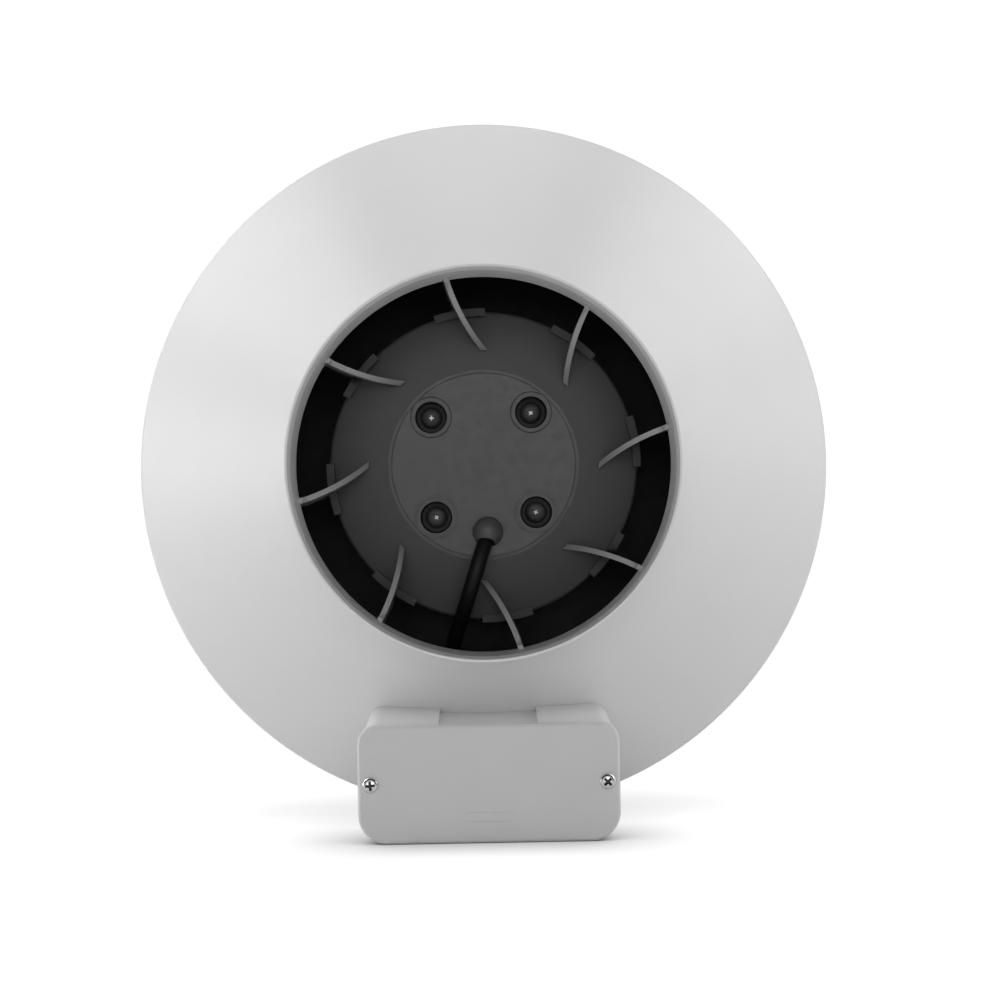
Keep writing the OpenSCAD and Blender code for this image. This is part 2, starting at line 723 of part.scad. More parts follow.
// Solid block of the box, shrunk by `inset`, with a recess along the middle of its sloping top
module base_block(from, inset) {
    slope = (base_top - base_front_top) / (base_top_depth - base_front);
    function top_at(depth) = base_front_top + (depth - base_front) * slope - inset;
    difference() {
        intersection() {
            prism_y(from, base_back) box_outline(base_half_w - inset, base_top + 20,
                lid_bottom + inset, 5, 10.5 - inset);
            translate([0, base_front, base_front_top]) rotate([atan(slope), 0, 0])
                prism_y(-40, 110) box_outline(base_half_w - inset + touch, -inset, -90, 7 - inset, 5);
        }
        prism_x(2 * (recess_half_w + inset)) polygon([[from - 2, top_at(from - 2) - recess_drop],
            [base_back + 2, top_at(base_back + 2) - recess_drop], [base_back + 2, -80], [from - 2, -80]]);
    }
}

module box_base() {
    color(light_plastic) difference() {
        union() {
            difference() {
                base_block(base_front, 0);
                difference() {
                    base_block(base_front - 1, box_wall);
                    casing_space(slack + box_wall);
                }
            }
            intersection() {
                base_block(base_front, 0.2);
                union() {
                    for (side = [-1, 1]) {
                        translate([side * lid_screw_x, 0, lid_screw_z])
                            prism_y(base_front, lid_boss_back) circle(r = 3.2);
                        translate([side * box_screw_x, 0, box_screw_z])
                            prism_y(box_boss_depth, 80) circle(r = 4.5);
                    }
                    translate([clamp_x - clamp_half.x, entry_depth - clamp_half.y, lid_bottom + 1])
                        cube([2 * clamp_half.x, 2 * clamp_half.y, entry_z - 4.2 - lid_bottom - 1]);
                    translate([terminal_from.x + 2, terminal_from.y + 2, lid_bottom + 1])
                        cube([terminal_size.x - 4, terminal_size.y - 4, terminal_from.z - lid_bottom - 1]);
                }
            }
        }
        casing_space(slack);
        for (side = [-1, 1]) {
            translate([side * lid_screw_x, 0, lid_screw_z])
                prism_y(base_front - 1, lid_boss_back - 1) circle(r = 1.5);
            translate([side * box_screw_x, 0, box_screw_z]) prism_y(box_boss_depth - 1, 80) circle(r = 2.1);
        }
        for (side = [-1, 1])
            translate([clamp_x, entry_depth + side * clamp_screw_run, entry_z - 20])
                cylinder(h = 20, r = 1.5);
        translate([-base_half_w - 1, entry_depth, entry_z]) rotate([0, 90, 0])
            cylinder(h = box_wall + 2, r = entry_hole_r);
        along_axis() lead_hole(lead_hole_r);
    }
}

module box_screws() {
    color(zinc) for (side = [-1, 1])
        translate([side * box_screw_x, box_boss_depth - touch, box_screw_z])
            along_axis() pan_screw(3.4, 2.4, 1.75, 22);
}

// Outline of the box's front edge, shrunk by `inset`, with the recess in its top
module edge_outline(inset) {
    depth = recess_drop + inset;
    difference() {
        box_outline(base_half_w - inset, base_front_top - inset, lid_bottom + inset,
            7 - inset, 10.5 - inset);
        translate([-recess_half_w - inset, base_front_top - depth])
            square([2 * (recess_half_w + inset), depth + 1]);
    }
}

// Flat seal along the box's front edge, which goes round the lid's screws
module box_seal() {
    margin = 0.3;
    color(rubber) prism_y(lid_back + touch / 2, base_front - touch / 2) difference() {
        union() {
            difference() {
                edge_outline(margin);
                edge_outline(box_wall - margin);
            }
            for (side = [-1, 1]) translate([side * lid_screw_x, lid_screw_z]) circle(r = 3);
        }
        for (side = [-1, 1]) translate([side * lid_screw_x, lid_screw_z]) circle(r = 1.7);
    }
}

module box_lid() {
    half_w = lid_w / 2;
    rim = 3.2;
    bar = [9, 1.2];
    color(lid_plastic) difference() {
        union() {
            hull() {
                prism_y(lid_depth, lid_depth + 0.1)
                    box_outline(half_w - lid_chamfer, -lid_top - lid_chamfer, lid_bottom + lid_chamfer,
                        6.5 - lid_chamfer, 11 - lid_chamfer);
                prism_y(lid_depth + lid_chamfer, lid_back)
                    box_outline(half_w, -lid_top, lid_bottom, 6.5, 11);
            }
            // two raised bars near the lid's lower edge
            for (level = [-132.5, -136])
                translate([-bar.x, lid_depth - 0.25, level]) cube([2 * bar.x, 1, bar.y]);
        }
        prism_y(lid_depth + lid_wall, lid_back + 1) difference() {
            box_outline(half_w - rim, -lid_top - rim, lid_bottom + rim, 6.5 - rim, 11 - rim);
            for (side = [-1, 1]) translate([side * lid_screw_x, lid_screw_z]) circle(r = 3.2);
            translate([-recess_half_w - rim, -lid_top - rim - recess_drop])
                square([2 * (recess_half_w + rim), 2 * recess_drop]);
        }
        for (side = [-1, 1])
            translate([side * lid_screw_x, 0, lid_screw_z])
                prism_y(lid_depth - 1, lid_back + 2) circle(r = 1.7);
    }
}

module lid_screws() {
    color(zinc) for (side = [-1, 1])
        translate([side * lid_screw_x, lid_depth - touch, lid_screw_z]) along_axis()
            rotate(side * 25) pan_screw(3.05, 1.9, 1.45, 15);
}

// ---- what the box holds ----

module entry_grommet() {
    outer = -base_half_w;
    inner = outer + box_wall;
    color(rubber) translate([0, entry_depth, entry_z]) rotate([0, 90, 0]) turned([
        [entry_r, outer - 1.4], [7.4, outer - 1.4], [8, outer - 0.8], [8, outer - touch],
        [entry_hole_r - touch, outer - touch], [entry_hole_r - touch, inner + touch], [8, inner + touch],
        [8, inner + 1.3], [entry_r, inner + 1.3]]);
}

// Bar that clamps the supply cord to its post
module cord_clamp() {
    from = entry_z + 4.2;
    color(black_plastic) difference() {
        translate([clamp_x - clamp_half.x, entry_depth - clamp_half.y, from])
            cube([2 * clamp_half.x, 2 * clamp_half.y, 3]);
        for (side = [-1, 1])
            translate([clamp_x, entry_depth + side * clamp_screw_run, from - 1]) cylinder(h = 5, r = 1.7);
    }
}

module cord_clamp_screws() {
    color(zinc) for (side = [-1, 1])
        translate([clamp_x, entry_depth + side * clamp_screw_run, entry_z + 7.2 + touch])
            mirror([0, 0, 1]) pan_screw(2.4, 1.8, 1.45, 22);
}

module terminal_block() {
    color(white_plastic) difference() {
        translate(terminal_from + [0, 0, touch]) cube(terminal_size - [0, touch, 0]);
        for (x = terminal_x) {
            for (depth = [20, 28])
                translate([x, depth, terminal_from.z + terminal_size.z - 4]) cylinder(h = 6, r = 2.4);
            translate([x, 0, terminal_hole_z]) prism_y(15, 23) circle(r = 2.2);
        }
    }
}

module terminal_screws() {
    color(zinc) for (x = terminal_x, depth = [20, 28])
        translate([x, depth, terminal_from.z + terminal_size.z - 4 + touch]) difference() {
            cylinder(h = 2.6, r = 2.2);
            translate([-3, -0.4, 1.8]) cube([6, 0.8, 2]);
        }
}

module run_capacitor() {
    tab = [3, 1, 5];
    color(white_plastic) translate([capacitor_from, capacitor_axis.x, capacitor_axis.y]) {
        rotate([0, 90, 0]) cylinder(h = capacitor_len, r = capacitor_r);
        for (z = [-6.5, 4.5]) translate([0.5 - tab.x, -2.5, z]) cube(tab);
    }
}

module capacitor_clip() {
    from = 12;
    width = 10;
    color(black_plastic) translate([from, capacitor_axis.x, capacitor_axis.y]) difference() {
        union() {
            rotate([0, 90, 0]) cylinder(h = width, r = capacitor_r + 1.4);
            translate([0, -8, floor_level + touch - capacitor_axis.y]) cube([width, 16, 6]);
        }
        translate([-1, 0, 0]) rotate([0, 90, 0]) cylinder(h = width + 2, r = capacitor_r + touch);
        translate([-1, -4, 8]) cube([width + 2, 8, 10]);
    }
}

module motor_lead() { color(rubber) cable(lead_route, lead_r, 12); }
module wire_brown() { color([0.35, 0.18, 0.1]) cable(brown_route, wire_r, 8); }
module wire_blue() { color([0.1, 0.25, 0.6]) cable(blue_route, wire_r, 8); }
module wire_black() { color(rubber) cable(black_route, wire_r, 8, [0, 0, 1]); }
module wire_earth() { color([0.2, 0.55, 0.15]) cable(earth_route, wire_r, 8, [0, 0, 1]); }
module wire_capacitor() { color([0.5, 0.5, 0.5]) cable(capacitor_route, wire_r, 8, [0, 0, 1]); }

// Rubber grommet through the casing's wall and the box's back wall
module lead_grommet() {
    inside = -casing_wall - 0.2;
    outside = slack + box_wall + touch;
    hole_r = lead_r + 0.12;
    body_r = lead_hole_r - touch;
    color(rubber) along_axis()
        rotate(90 + lead_cross_turn) translate([lead_cross_r, 0, cone_depth(lead_cross_r)])
            rotate([0, 180 - cone_angle, 0]) turned([
                [hole_r, inside - 1.4], [6.4, inside - 1.4], [6.4, inside], [body_r, inside],
                [body_r, outside], [6.4, outside], [6.4, outside + 1.4], [hole_r, outside + 1.4]]);
}

outlet_casing();
guide_vanes();
inlet_casing();
casing_seal();
inlet_ring();
inlet_ring_screws();
motor_plate();
plate_bushes();
motor_screws();
motor_flange();
stator_core();
stator_end_plates();
stator_windings();
thermal_cutout();
front_bearing_outer_ring();
rear_bearing_outer_ring();
preload_washer();
motor_lead();
lead_grommet();
box_base();
box_screws();
box_seal();
box_lid();
lid_screws();
entry_grommet();
cord_clamp();
cord_clamp_screws();
terminal_block();
terminal_screws();
run_capacitor();
capacitor_clip();
wire_brown();
wire_blue();
wire_black();
wire_earth();
wire_capacitor();
rotor_can();
rotor_core();
rotor_cage();
shaft();
shaft_circlip();
front_bearing_inner_ring();
rear_bearing_inner_ring();
impeller();
impeller_shroud();
impeller_screws();
front_bearing_balls();
front_bearing_cage();
rear_bearing_balls();
rear_bearing_cage();
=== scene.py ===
"""Inline duct fan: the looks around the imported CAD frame.

Lengths in the tables below are in millimetres, and MM turns them into Blender's metres. The fan's axis is
Y, and "depth" is the distance behind the outlet spigot's mouth, along +Y.
"""

import math

import bmesh
import bpy
from mathutils import Matrix, Vector


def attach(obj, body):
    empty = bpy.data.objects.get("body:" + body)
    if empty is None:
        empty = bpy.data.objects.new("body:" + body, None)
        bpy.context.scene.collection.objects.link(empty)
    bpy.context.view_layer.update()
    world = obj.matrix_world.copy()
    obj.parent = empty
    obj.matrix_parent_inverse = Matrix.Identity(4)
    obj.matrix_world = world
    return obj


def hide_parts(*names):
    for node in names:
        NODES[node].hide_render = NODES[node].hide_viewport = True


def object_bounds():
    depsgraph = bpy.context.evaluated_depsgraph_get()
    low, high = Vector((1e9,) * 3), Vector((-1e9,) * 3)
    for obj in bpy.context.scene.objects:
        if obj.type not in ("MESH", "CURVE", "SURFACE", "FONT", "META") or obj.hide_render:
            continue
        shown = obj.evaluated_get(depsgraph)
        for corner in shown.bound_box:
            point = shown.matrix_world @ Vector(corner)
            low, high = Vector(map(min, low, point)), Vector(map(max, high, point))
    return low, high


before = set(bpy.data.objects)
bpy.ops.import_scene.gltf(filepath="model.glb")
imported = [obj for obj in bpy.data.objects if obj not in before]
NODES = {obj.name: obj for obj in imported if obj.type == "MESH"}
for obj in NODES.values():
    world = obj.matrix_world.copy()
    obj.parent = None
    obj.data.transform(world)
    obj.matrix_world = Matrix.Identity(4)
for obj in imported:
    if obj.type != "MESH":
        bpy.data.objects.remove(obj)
cad_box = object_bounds()
SLOT_OF = {name: node.material_slots[0].material.name for name, node in NODES.items()}
MM = 0.001
SCENE = bpy.context.scene


# ---- camera ----

EYE = Vector((0.00143, -0.750, -0.01563))
TURN, TILT, ROLL = (math.radians(a) for a in (0.342, 0.131, 1.0))
LENS = 72.4
NEAR_CLIP, FAR_CLIP = 0.01, 100


def make_camera():
    """A camera in front of the outlet, turned, tilted and rolled a little from looking straight along +Y."""
    side = Vector((math.cos(ROLL), 0, -math.sin(ROLL)))
    up = Vector((math.sin(ROLL), 0, math.cos(ROLL)))
    look = (Vector((0, 1, 0)) + side * math.tan(TURN) + up * math.tan(TILT)).normalized()
    right = look.cross(up).normalized()
    up = right.cross(look)
    data = bpy.data.cameras.new("camera")
    data.lens = LENS
    data.clip_start, data.clip_end = NEAR_CLIP, FAR_CLIP
    camera = bpy.data.objects.new("camera", data)
    SCENE.collection.objects.link(camera)
    camera.matrix_world = Matrix.Translation(EYE) @ Matrix((right, up, -look)).transposed().to_4x4()
    SCENE.camera = camera


# ---- studio ----

FLOOR_HALF, FLOOR_GAP, FLOOR_LEVEL = 9, 0.0001, 0.75
FLOOR_GLOW = 1.02
CONTACT_REACH = 0.034
CONTACT_FADE = (0.015, 0.05)   # from and to this depth the contact shadow gets fainter
CONTACT_LOST = 0.75            # share of it that is gone behind that
BACKDROP = 1.05
WORLD_POWER = 2.76
WORLD_LEVELS = [(-1, 1), (-0.75, 0), (0.1, 0), (1, 0.13)]   # level by direction along Y
MIDDLE, INLET_END = (0, 0.05, 0), (0, 0.2, 0)
SOFT_BOX, LOW_BOX = (0.8, 0.8), (0.8, 0.5)
TALL_STRIP, SHORT_STRIP, WIDE_STRIP = (0.3, 0.9), (0.3, 0.6), (0.9, 0.3)
LIGHTS = [   # name, place, what it points at, size and power
    ("right_box", (1.5, -0.1, 0.5), MIDDLE, SOFT_BOX, 4.8),
    ("low_left_box", (-1.5, -0.2, 0), MIDDLE, LOW_BOX, 3.6),
    ("left_strip", (-1.5, 0.2, 0.5), MIDDLE, TALL_STRIP, 3.0),
    ("right_strip", (1.5, 0.2, 0.5), MIDDLE, TALL_STRIP, 0.5),
    ("upper_right_strip", (1.1, 0.2, 1.1), MIDDLE, TALL_STRIP, 7.4),
    ("upper_left_strip", (-1.1, 0.2, 1.1), MIDDLE, TALL_STRIP, 8.7),
    ("low_right_strip", (1.5, 0.2, 0.05), MIDDLE, SHORT_STRIP, 1.8),
    ("low_left_strip", (-1.5, 0.2, 0.05), MIDDLE, SHORT_STRIP, 2.9),
    ("top_strip", (0, 0.2, 1.5), MIDDLE, WIDE_STRIP, 4.6),
    ("rear_box", (-0.6, 1.6, 0.5), INLET_END, SOFT_BOX, 6)]


def make_floor():
    """A plain white floor, which the camera sees darker only close to what stands on it."""
    mesh = bpy.data.meshes.new("floor")
    z = cad_box[0].z - FLOOR_GAP
    mesh.from_pydata([(x * FLOOR_HALF, y * FLOOR_HALF, z) for x, y in ((-1, -1), (1, -1), (1, 1), (-1, 1))],
                     [], [(0, 1, 2, 3)])
    floor = bpy.data.objects.new("floor", mesh)
    SCENE.collection.objects.link(floor)
    mat = bpy.data.materials.new("floor_white")
    mat.use_nodes = True
    nodes, links = mat.node_tree.nodes, mat.node_tree.links
    bsdf = nodes["Principled BSDF"]
    bsdf.inputs["Base Color"].default_value = (*[FLOOR_LEVEL] * 3, 1)
    bsdf.inputs["Roughness"].default_value = 0.9
    near = nodes.new("ShaderNodeAmbientOcclusion")
    near.inputs["Distance"].default_value = CONTACT_REACH
    glow = nodes.new("ShaderNodeEmission")
    glow.inputs["Strength"].default_value = FLOOR_GLOW
    mix = nodes.new("ShaderNodeMixShader")
    path = nodes.new("ShaderNodeLightPath")
    coords = nodes.new("ShaderNodeTexCoord")
    split = nodes.new("ShaderNodeSeparateXYZ")
    behind = nodes.new("ShaderNodeMapRange")
    behind.inputs["From Min"].default_value, behind.inputs["From Max"].default_value = CONTACT_FADE
    behind.inputs["To Max"].default_value = CONTACT_LOST
    lighter = nodes.new("ShaderNodeMix")
    lighter.data_type = "RGBA"
    lighter.inputs["B"].default_value = (1, 1, 1, 1)
    links.new(coords.outputs["Object"], split.inputs[0])
    links.new(split.outputs["Y"], behind.inputs["Value"])
    links.new(behind.outputs["Result"], lighter.inputs["Factor"])
    links.new(near.outputs["Color"], lighter.inputs["A"])
    links.new(lighter.outputs["Result"], glow.inputs["Color"])
    links.new(path.outputs["Is Camera Ray"], mix.inputs[0])
    links.new(bsdf.outputs[0], mix.inputs[1])
    links.new(glow.outputs[0], mix.inputs[2])
    links.new(mix.outputs[0], nodes["Material Output"].inputs["Surface"])
    mesh.materials.append(mat)


def make_light(name, place, aim, size, power):
    """A rectangular light that points at aim. The camera doesn't see it."""
    data = bpy.data.lights.new(name, "AREA")
    data.shape = "RECTANGLE"
    data.size, data.size_y = size
    data.energy = power
    light = bpy.data.objects.new(name, data)
    SCENE.collection.objects.link(light)
    light.location = place
    light.rotation_mode = "QUATERNION"
    light.rotation_quaternion = (Vector(aim) - Vector(place)).to_track_quat("-Z", "Y")
    light.visible_camera = False


def make_world():
    """White all round for the camera. The light that it casts comes mostly from the front."""
    world = bpy.data.worlds.new("studio")
    SCENE.world = world
    world.use_nodes = True
    nodes, links = world.node_tree.nodes, world.node_tree.links
    nodes.clear()
    out = nodes.new("ShaderNodeOutputWorld")
    mix = nodes.new("ShaderNodeMixShader")
    path = nodes.new("ShaderNodeLightPath")
    white = nodes.new("ShaderNodeBackground")
    white.inputs["Color"].default_value = (1, 1, 1, 1)
    white.inputs["Strength"].default_value = BACKDROP
    cast = nodes.new("ShaderNodeBackground")
    cast.inputs["Strength"].default_value = WORLD_POWER
    coords = nodes.new("ShaderNodeTexCoord")
    split = nodes.new("ShaderNodeSeparateXYZ")
    links.new(coords.outputs["Generated"], split.inputs[0])
    place = nodes.new("ShaderNodeMapRange")
    place.inputs["From Min"].default_value = -1.0
    links.new(split.outputs["Y"], place.inputs["Value"])
    ramp = nodes.new("ShaderNodeValToRGB")
    stops = ramp.color_ramp.elements
    for _ in WORLD_LEVELS[2:]:
        stops.new(0.5)
    for stop, (along, level) in zip(stops, WORLD_LEVELS):
        stop.position, stop.color = (along + 1) / 2, (level, level, level, 1)
    links.new(place.outputs["Result"], ramp.inputs["Fac"])
    links.new(ramp.outputs["Color"], cast.inputs["Color"])
    links.new(path.outputs["Is Camera Ray"], mix.inputs[0])
    links.new(cast.outputs[0], mix.inputs[1])
    links.new(white.outputs[0], mix.inputs[2])
    links.new(mix.outputs[0], out.inputs["Surface"])


make_camera()
make_floor()
make_world()
for light in LIGHTS:
    make_light(*light)
SCENE.view_settings.view_transform = "Standard"


# ---- materials ----

def rgb(level, tint=(1, 1, 1)):
    """A grey of that level, or a tint of it."""
    return tuple(level * t for t in tint)


def material(name, colour, rough, metallic=0.0, grain=(0.3, 0.02), ripple=(4.0, 0.0), mottle=0.04,
             rough_spread=0.06, specular=0.5, streaks=None, painted_shade=None):
    """A surface with fine grain and a soft ripple in its relief, mottled colour and uneven gloss.

    grain and ripple are each a feature size and a height in mm. streaks squeezes the mottling along one
    axis, as brushing, drawing or stacked sheets do. fade is painted shade that darkens the colour towards
    the fan's axis: two distances from the axis in mm and the share of the colour that is left at the nearer
    one.
    """
    mat = bpy.data.materials.new(name)
    mat.use_nodes = True
    nodes, links = mat.node_tree.nodes, mat.node_tree.links
    bsdf = nodes["Principled BSDF"]
    coords = nodes.new("ShaderNodeTexCoord")

    def noise(size, detail, stretch=None):
        tex = nodes.new("ShaderNodeTexNoise")
        tex.inputs["Scale"].default_value = 1 / (size * MM)
        tex.inputs["Detail"].default_value = detail
        source = coords.outputs["Object"]
        if stretch:
            mapping = nodes.new("ShaderNodeMapping")
            mapping.inputs["Scale"].default_value = stretch
            links.new(source, mapping.inputs["Vector"])
            source = mapping.outputs["Vector"]
        links.new(source, tex.inputs["Vector"])
        return tex.outputs["Fac"]

    def spread(value, low, high):
        """The noise's middle range, 0.3 to 0.7, spread from low to high."""
        node = nodes.new("ShaderNodeMapRange")
        for socket, level in zip(("From Min", "From Max", "To Min", "To Max"), (0.3, 0.7, low, high)):
            node.inputs[socket].default_value = level
        links.new(value, node.inputs["Value"])
        return node.outputs["Result"]

    def mixed(factor, a, b):
        node = nodes.new("ShaderNodeMix")
        node.data_type = "RGBA"
        links.new(factor, node.inputs["Factor"])
        for socket, value in ((node.inputs["A"], a), (node.inputs["B"], b)):
            if isinstance(value, tuple):
                socket.default_value = (*value, 1)
            else:
                links.new(value, socket)
        return node.outputs["Result"]

    patches = noise(18, 4, streaks)
    tone = mixed(spread(patches, 0, 1), tuple(c * (1 - mottle) for c in colour),
                 tuple(c * (1 + mottle) for c in colour))
    # Painted shade: the colour is mixed towards black nearer the fan's axis, as the shade deep inside the
    # collar darkens it.
    if painted_shade:
        flat = nodes.new("ShaderNodeVectorMath")
        flat.operation = "MULTIPLY"
        flat.inputs[1].default_value = (1, 0, 1)
        links.new(coords.outputs["Object"], flat.inputs[0])
        across = nodes.new("ShaderNodeVectorMath")
        across.operation = "LENGTH"
        links.new(flat.outputs["Vector"], across.inputs[0])
        near = nodes.new("ShaderNodeMapRange")
        for socket, value in zip(("From Min", "From Max", "To Min", "To Max"),
                                 (painted_shade[0] * MM, painted_shade[1] * MM, 1 - painted_shade[2], 0)):
            near.inputs[socket].default_value = value
        links.new(across.outputs["Value"], near.inputs["Value"])
        tone = mixed(near.outputs["Result"], tone, rgb(0.0))
    links.new(tone, bsdf.inputs["Base Color"])
    uneven = spread(noise(3, 5, streaks), rough - rough_spread, rough + rough_spread)
    links.new(uneven, bsdf.inputs["Roughness"])
    bsdf.inputs["Metallic"].default_value = metallic
    bsdf.inputs["Specular IOR Level"].default_value = specular

    relief = None
    for size, height in (grain, ripple):
        if not height:
            continue
        bump = nodes.new("ShaderNodeBump")
        bump.inputs["Distance"].default_value = height * MM
        links.new(noise(size, 2, streaks), bump.inputs["Height"])
        if relief:
            links.new(relief, bump.inputs["Normal"])
        relief = bump.outputs["Normal"]
    if relief:
        links.new(relief, bsdf.inputs["Normal"])
    return mat


FINISHES = {   # colour and roughness, then whatever differs from a plain plastic
    "casing_plastic": dict(colour=rgb(0.70), rough=0.42, grain=(0.35, 0.008), ripple=(12, 0.012),
                           mottle=0.008, rough_spread=0.03),
    # The vanes are moulded in the casing's light plastic. Their lower grey here is painted shade for the dim
    # inside of the collar, and fade paints more shade towards their inner ends.
    "vane_plastic": dict(colour=rgb(0.40), rough=0.45, grain=(0.35, 0.01), ripple=(9, 0.01),
                         mottle=0.02, painted_shade=(46, 68, 0.35)),
    "lid_plastic": dict(colour=rgb(0.60), rough=0.5, grain=(0.4, 0.02), ripple=(9, 0.012),
                        mottle=0.01, rough_spread=0.04),
    "box_plastic": dict(colour=rgb(0.65), rough=0.45, grain=(0.4, 0.012), ripple=(9, 0.012),
                        mottle=0.01, rough_spread=0.04),
    "plate_plastic": dict(colour=rgb(0.064), rough=0.5, grain=(0.35, 0.012), ripple=(9, 0.015),
                          mottle=0.03),
    "black_plastic": dict(colour=rgb(0.007), rough=0.5, grain=(0.3, 0.02), ripple=(6, 0.02),
                          mottle=0.2, specular=0.15),
    "rubber": dict(colour=rgb(0.03), rough=0.7, grain=(0.25, 0.03), mottle=0.2, specular=0.3),
    "zinc_steel": dict(colour=rgb(0.72, (1, 1, 0.98)), rough=0.26, metallic=1.0, grain=(0.15, 0.006),
                       mottle=0.1),
    "black_steel": dict(colour=rgb(0.045), rough=0.5, metallic=0.6, grain=(0.2, 0.01), mottle=0.25),
    "bearing_steel": dict(colour=rgb(0.7), rough=0.16, metallic=1.0, grain=(0.1, 0.002), mottle=0.05),
    "lamination_steel": dict(colour=rgb(0.35), rough=0.4, metallic=1.0, grain=(0.5, 0.05), mottle=0.3,
                             streaks=(0.1, 30, 0.1)),
    "rotor_steel": dict(colour=rgb(0.5), rough=0.32, metallic=1.0, grain=(0.4, 0.01), mottle=0.12,
                        streaks=(1, 12, 1)),
    "cast_alloy": dict(colour=rgb(0.62), rough=0.45, metallic=1.0, grain=(0.5, 0.06), mottle=0.12),
    "copper": dict(colour=(0.65, 0.25, 0.09), rough=0.3, metallic=1.0, grain=(0.5, 0.1), mottle=0.2,
                   streaks=(1, 0.1, 1)),
    "insulation": dict(colour=(0.8, 0.79, 0.74), rough=0.5, grain=(0.3, 0.02)),
    "cable_black": dict(colour=rgb(0.004), rough=0.5, grain=(0.4, 0.015), mottle=0.3, specular=0.2),
    "wire_brown": dict(colour=(0.13, 0.05, 0.02), rough=0.35),
    "wire_blue": dict(colour=(0.02, 0.08, 0.35), rough=0.35),
    "wire_earth": dict(colour=(0.1, 0.35, 0.05), rough=0.35),
    "wire_grey": dict(colour=rgb(0.3), rough=0.35),
}
MATERIALS = {name: material(name, **finish) for name, finish in FINISHES.items()}

for name, node in NODES.items():
    node.material_slots[0].material = MATERIALS[SLOT_OF[name]]


# ---- mesh helpers ----

def finish_piece(mesh, name, nodes, body="root", sharp=35, extra=()):
    """Makes the mesh into a piece that stands for those CAD nodes, shaded smooth except at sharp edges."""
    bm = bmesh.new()
    bm.from_mesh(mesh)
    bmesh.ops.recalc_face_normals(bm, faces=bm.faces)
    for face in bm.faces:
        face.smooth = True
    bm.to_mesh(mesh)
    bm.free()
    mesh.set_sharp_from_angle(angle=math.radians(sharp))
    for slot in (SLOT_OF[nodes[0]], *extra):
        mesh.materials.append(MATERIALS[slot])
    piece = bpy.data.objects.new(name, mesh)
    SCENE.collection.objects.link(piece)
    weighted = piece.modifiers.new("weighted", "WEIGHTED_NORMAL")
    weighted.keep_sharp = True
    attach(piece, body)
    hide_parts(*nodes)


def rounded(points, radii, step=15):
    """A closed outline with each corner turned into an arc of its radius; a radius of 0 leaves the corner."""
    out = []
    count = len(points)
    for i in range(count):
        here, r = Vector(points[i]), radii[i]
        before, after = Vector(points[i - 1]) - here, Vector(points[(i + 1) % count]) - here
        if not r:
            out.append(tuple(here))
            continue
        half = before.angle(after) / 2
        reach = min(r / math.tan(half), 0.49 * before.length, 0.49 * after.length)
        r = reach * math.tan(half)
        centre = here + (before.normalized() + after.normalized()).normalized() * (r / math.sin(half))
        start = here + before.normalized() * reach - centre
        end = here + after.normalized() * reach - centre
        turn = start.angle_signed(end)
        steps = max(1, round(abs(math.degrees(turn)) / step))
        for k in range(steps + 1):
            a = -turn * k / steps
            out.append((centre.x + start.x * math.cos(a) - start.y * math.sin(a),
                        centre.y + start.x * math.sin(a) + start.y * math.cos(a)))
    return out


def made(bm):
    """The bmesh as a mesh, with points that touch merged."""
    bmesh.ops.remove_doubles(bm, verts=bm.verts, dist=1e-6)
    bmesh.ops.recalc_face_normals(bm, faces=bm.faces)
    mesh = bpy.data.meshes.new("made")
    bm.to_mesh(mesh)
    bm.free()
    return mesh


def turned(outline, steps=192):
    """A mesh of a closed outline of [radius, depth] points turned about the fan's axis."""
    bm = bmesh.new()
    columns = []
    for i in range(steps):
        a = math.tau * i / steps
        columns.append([bm.verts.new((r * math.cos(a) * MM, depth * MM, r * math.sin(a) * MM))
                        for r, depth in outline])
    for i in range(steps):
        here, there = columns[i], columns[(i + 1) % steps]
        for k in range(len(outline)):
            m = (k + 1) % len(outline)
            if outline[k][0] or outline[m][0]:
                bm.faces.new((here[k], here[m], there[m], there[k]))
    return made(bm)


def lofted(rings):
    """A mesh through rings of points, each with the same count, closed at both ends."""
    bm = bmesh.new()
    rows = [[bm.verts.new(Vector(p) * MM) for p in ring] for ring in rings]
    for here, there in zip(rows, rows[1:]):
        for k in range(len(here)):
            m = (k + 1) % len(here)
            bm.faces.new((here[k], here[m], there[m], there[k]))
    bm.faces.new(rows[0])
    bm.faces.new(rows[-1])
    return made(bm)


def rod(start, end, r, steps=48):
    """A round bar between two points."""
    start, end = Vector(start), Vector(end)
    turn = (end - start).to_track_quat("Z", "Y")
    circle = [Vector((r * math.cos(math.tau * k / steps), r * math.sin(math.tau * k / steps), 0))
              for k in range(steps)]
    return lofted([[at + turn @ p for p in circle] for at in (start, end)])


def moved(mesh, place=(0, 0, 0), turn=0.0, flip=False):
    """A copy turned about Y, faced to the back if flip is set, and moved."""
    out = mesh.copy()
    matrix = Matrix.Translation(Vector(place) * MM) @ Matrix.Rotation(math.radians(turn), 4, "Y")
    if flip:
        matrix = matrix @ Matrix.Rotation(math.pi, 4, "Z")
    out.transform(matrix)
    return out


def joined(meshes):
    """Separate solids in one mesh."""
    bm = bmesh.new()
    for mesh in meshes:
        bm.from_mesh(mesh)
    out = bpy.data.meshes.new("joined")
    bm.to_mesh(out)
    bm.free()
    return out


def combined(mesh, tools, operation="DIFFERENCE"):
    """The mesh with each tool cut from it or, for UNION, added to it."""
    base = bpy.data.objects.new("base", mesh)
    SCENE.collection.objects.link(base)
    others = []
    for tool in tools:
        other = bpy.data.objects.new("tool", tool)
        SCENE.collection.objects.link(other)
        others.append(other)
        step = base.modifiers.new("step", "BOOLEAN")
        step.operation, step.solver, step.object = operation, "EXACT", other
    bpy.context.view_layer.update()
    result = bpy.data.meshes.new_from_object(base.evaluated_get(bpy.context.evaluated_depsgraph_get()))
    for thing in (base, *others):
        bpy.data.objects.remove(thing)
    return result


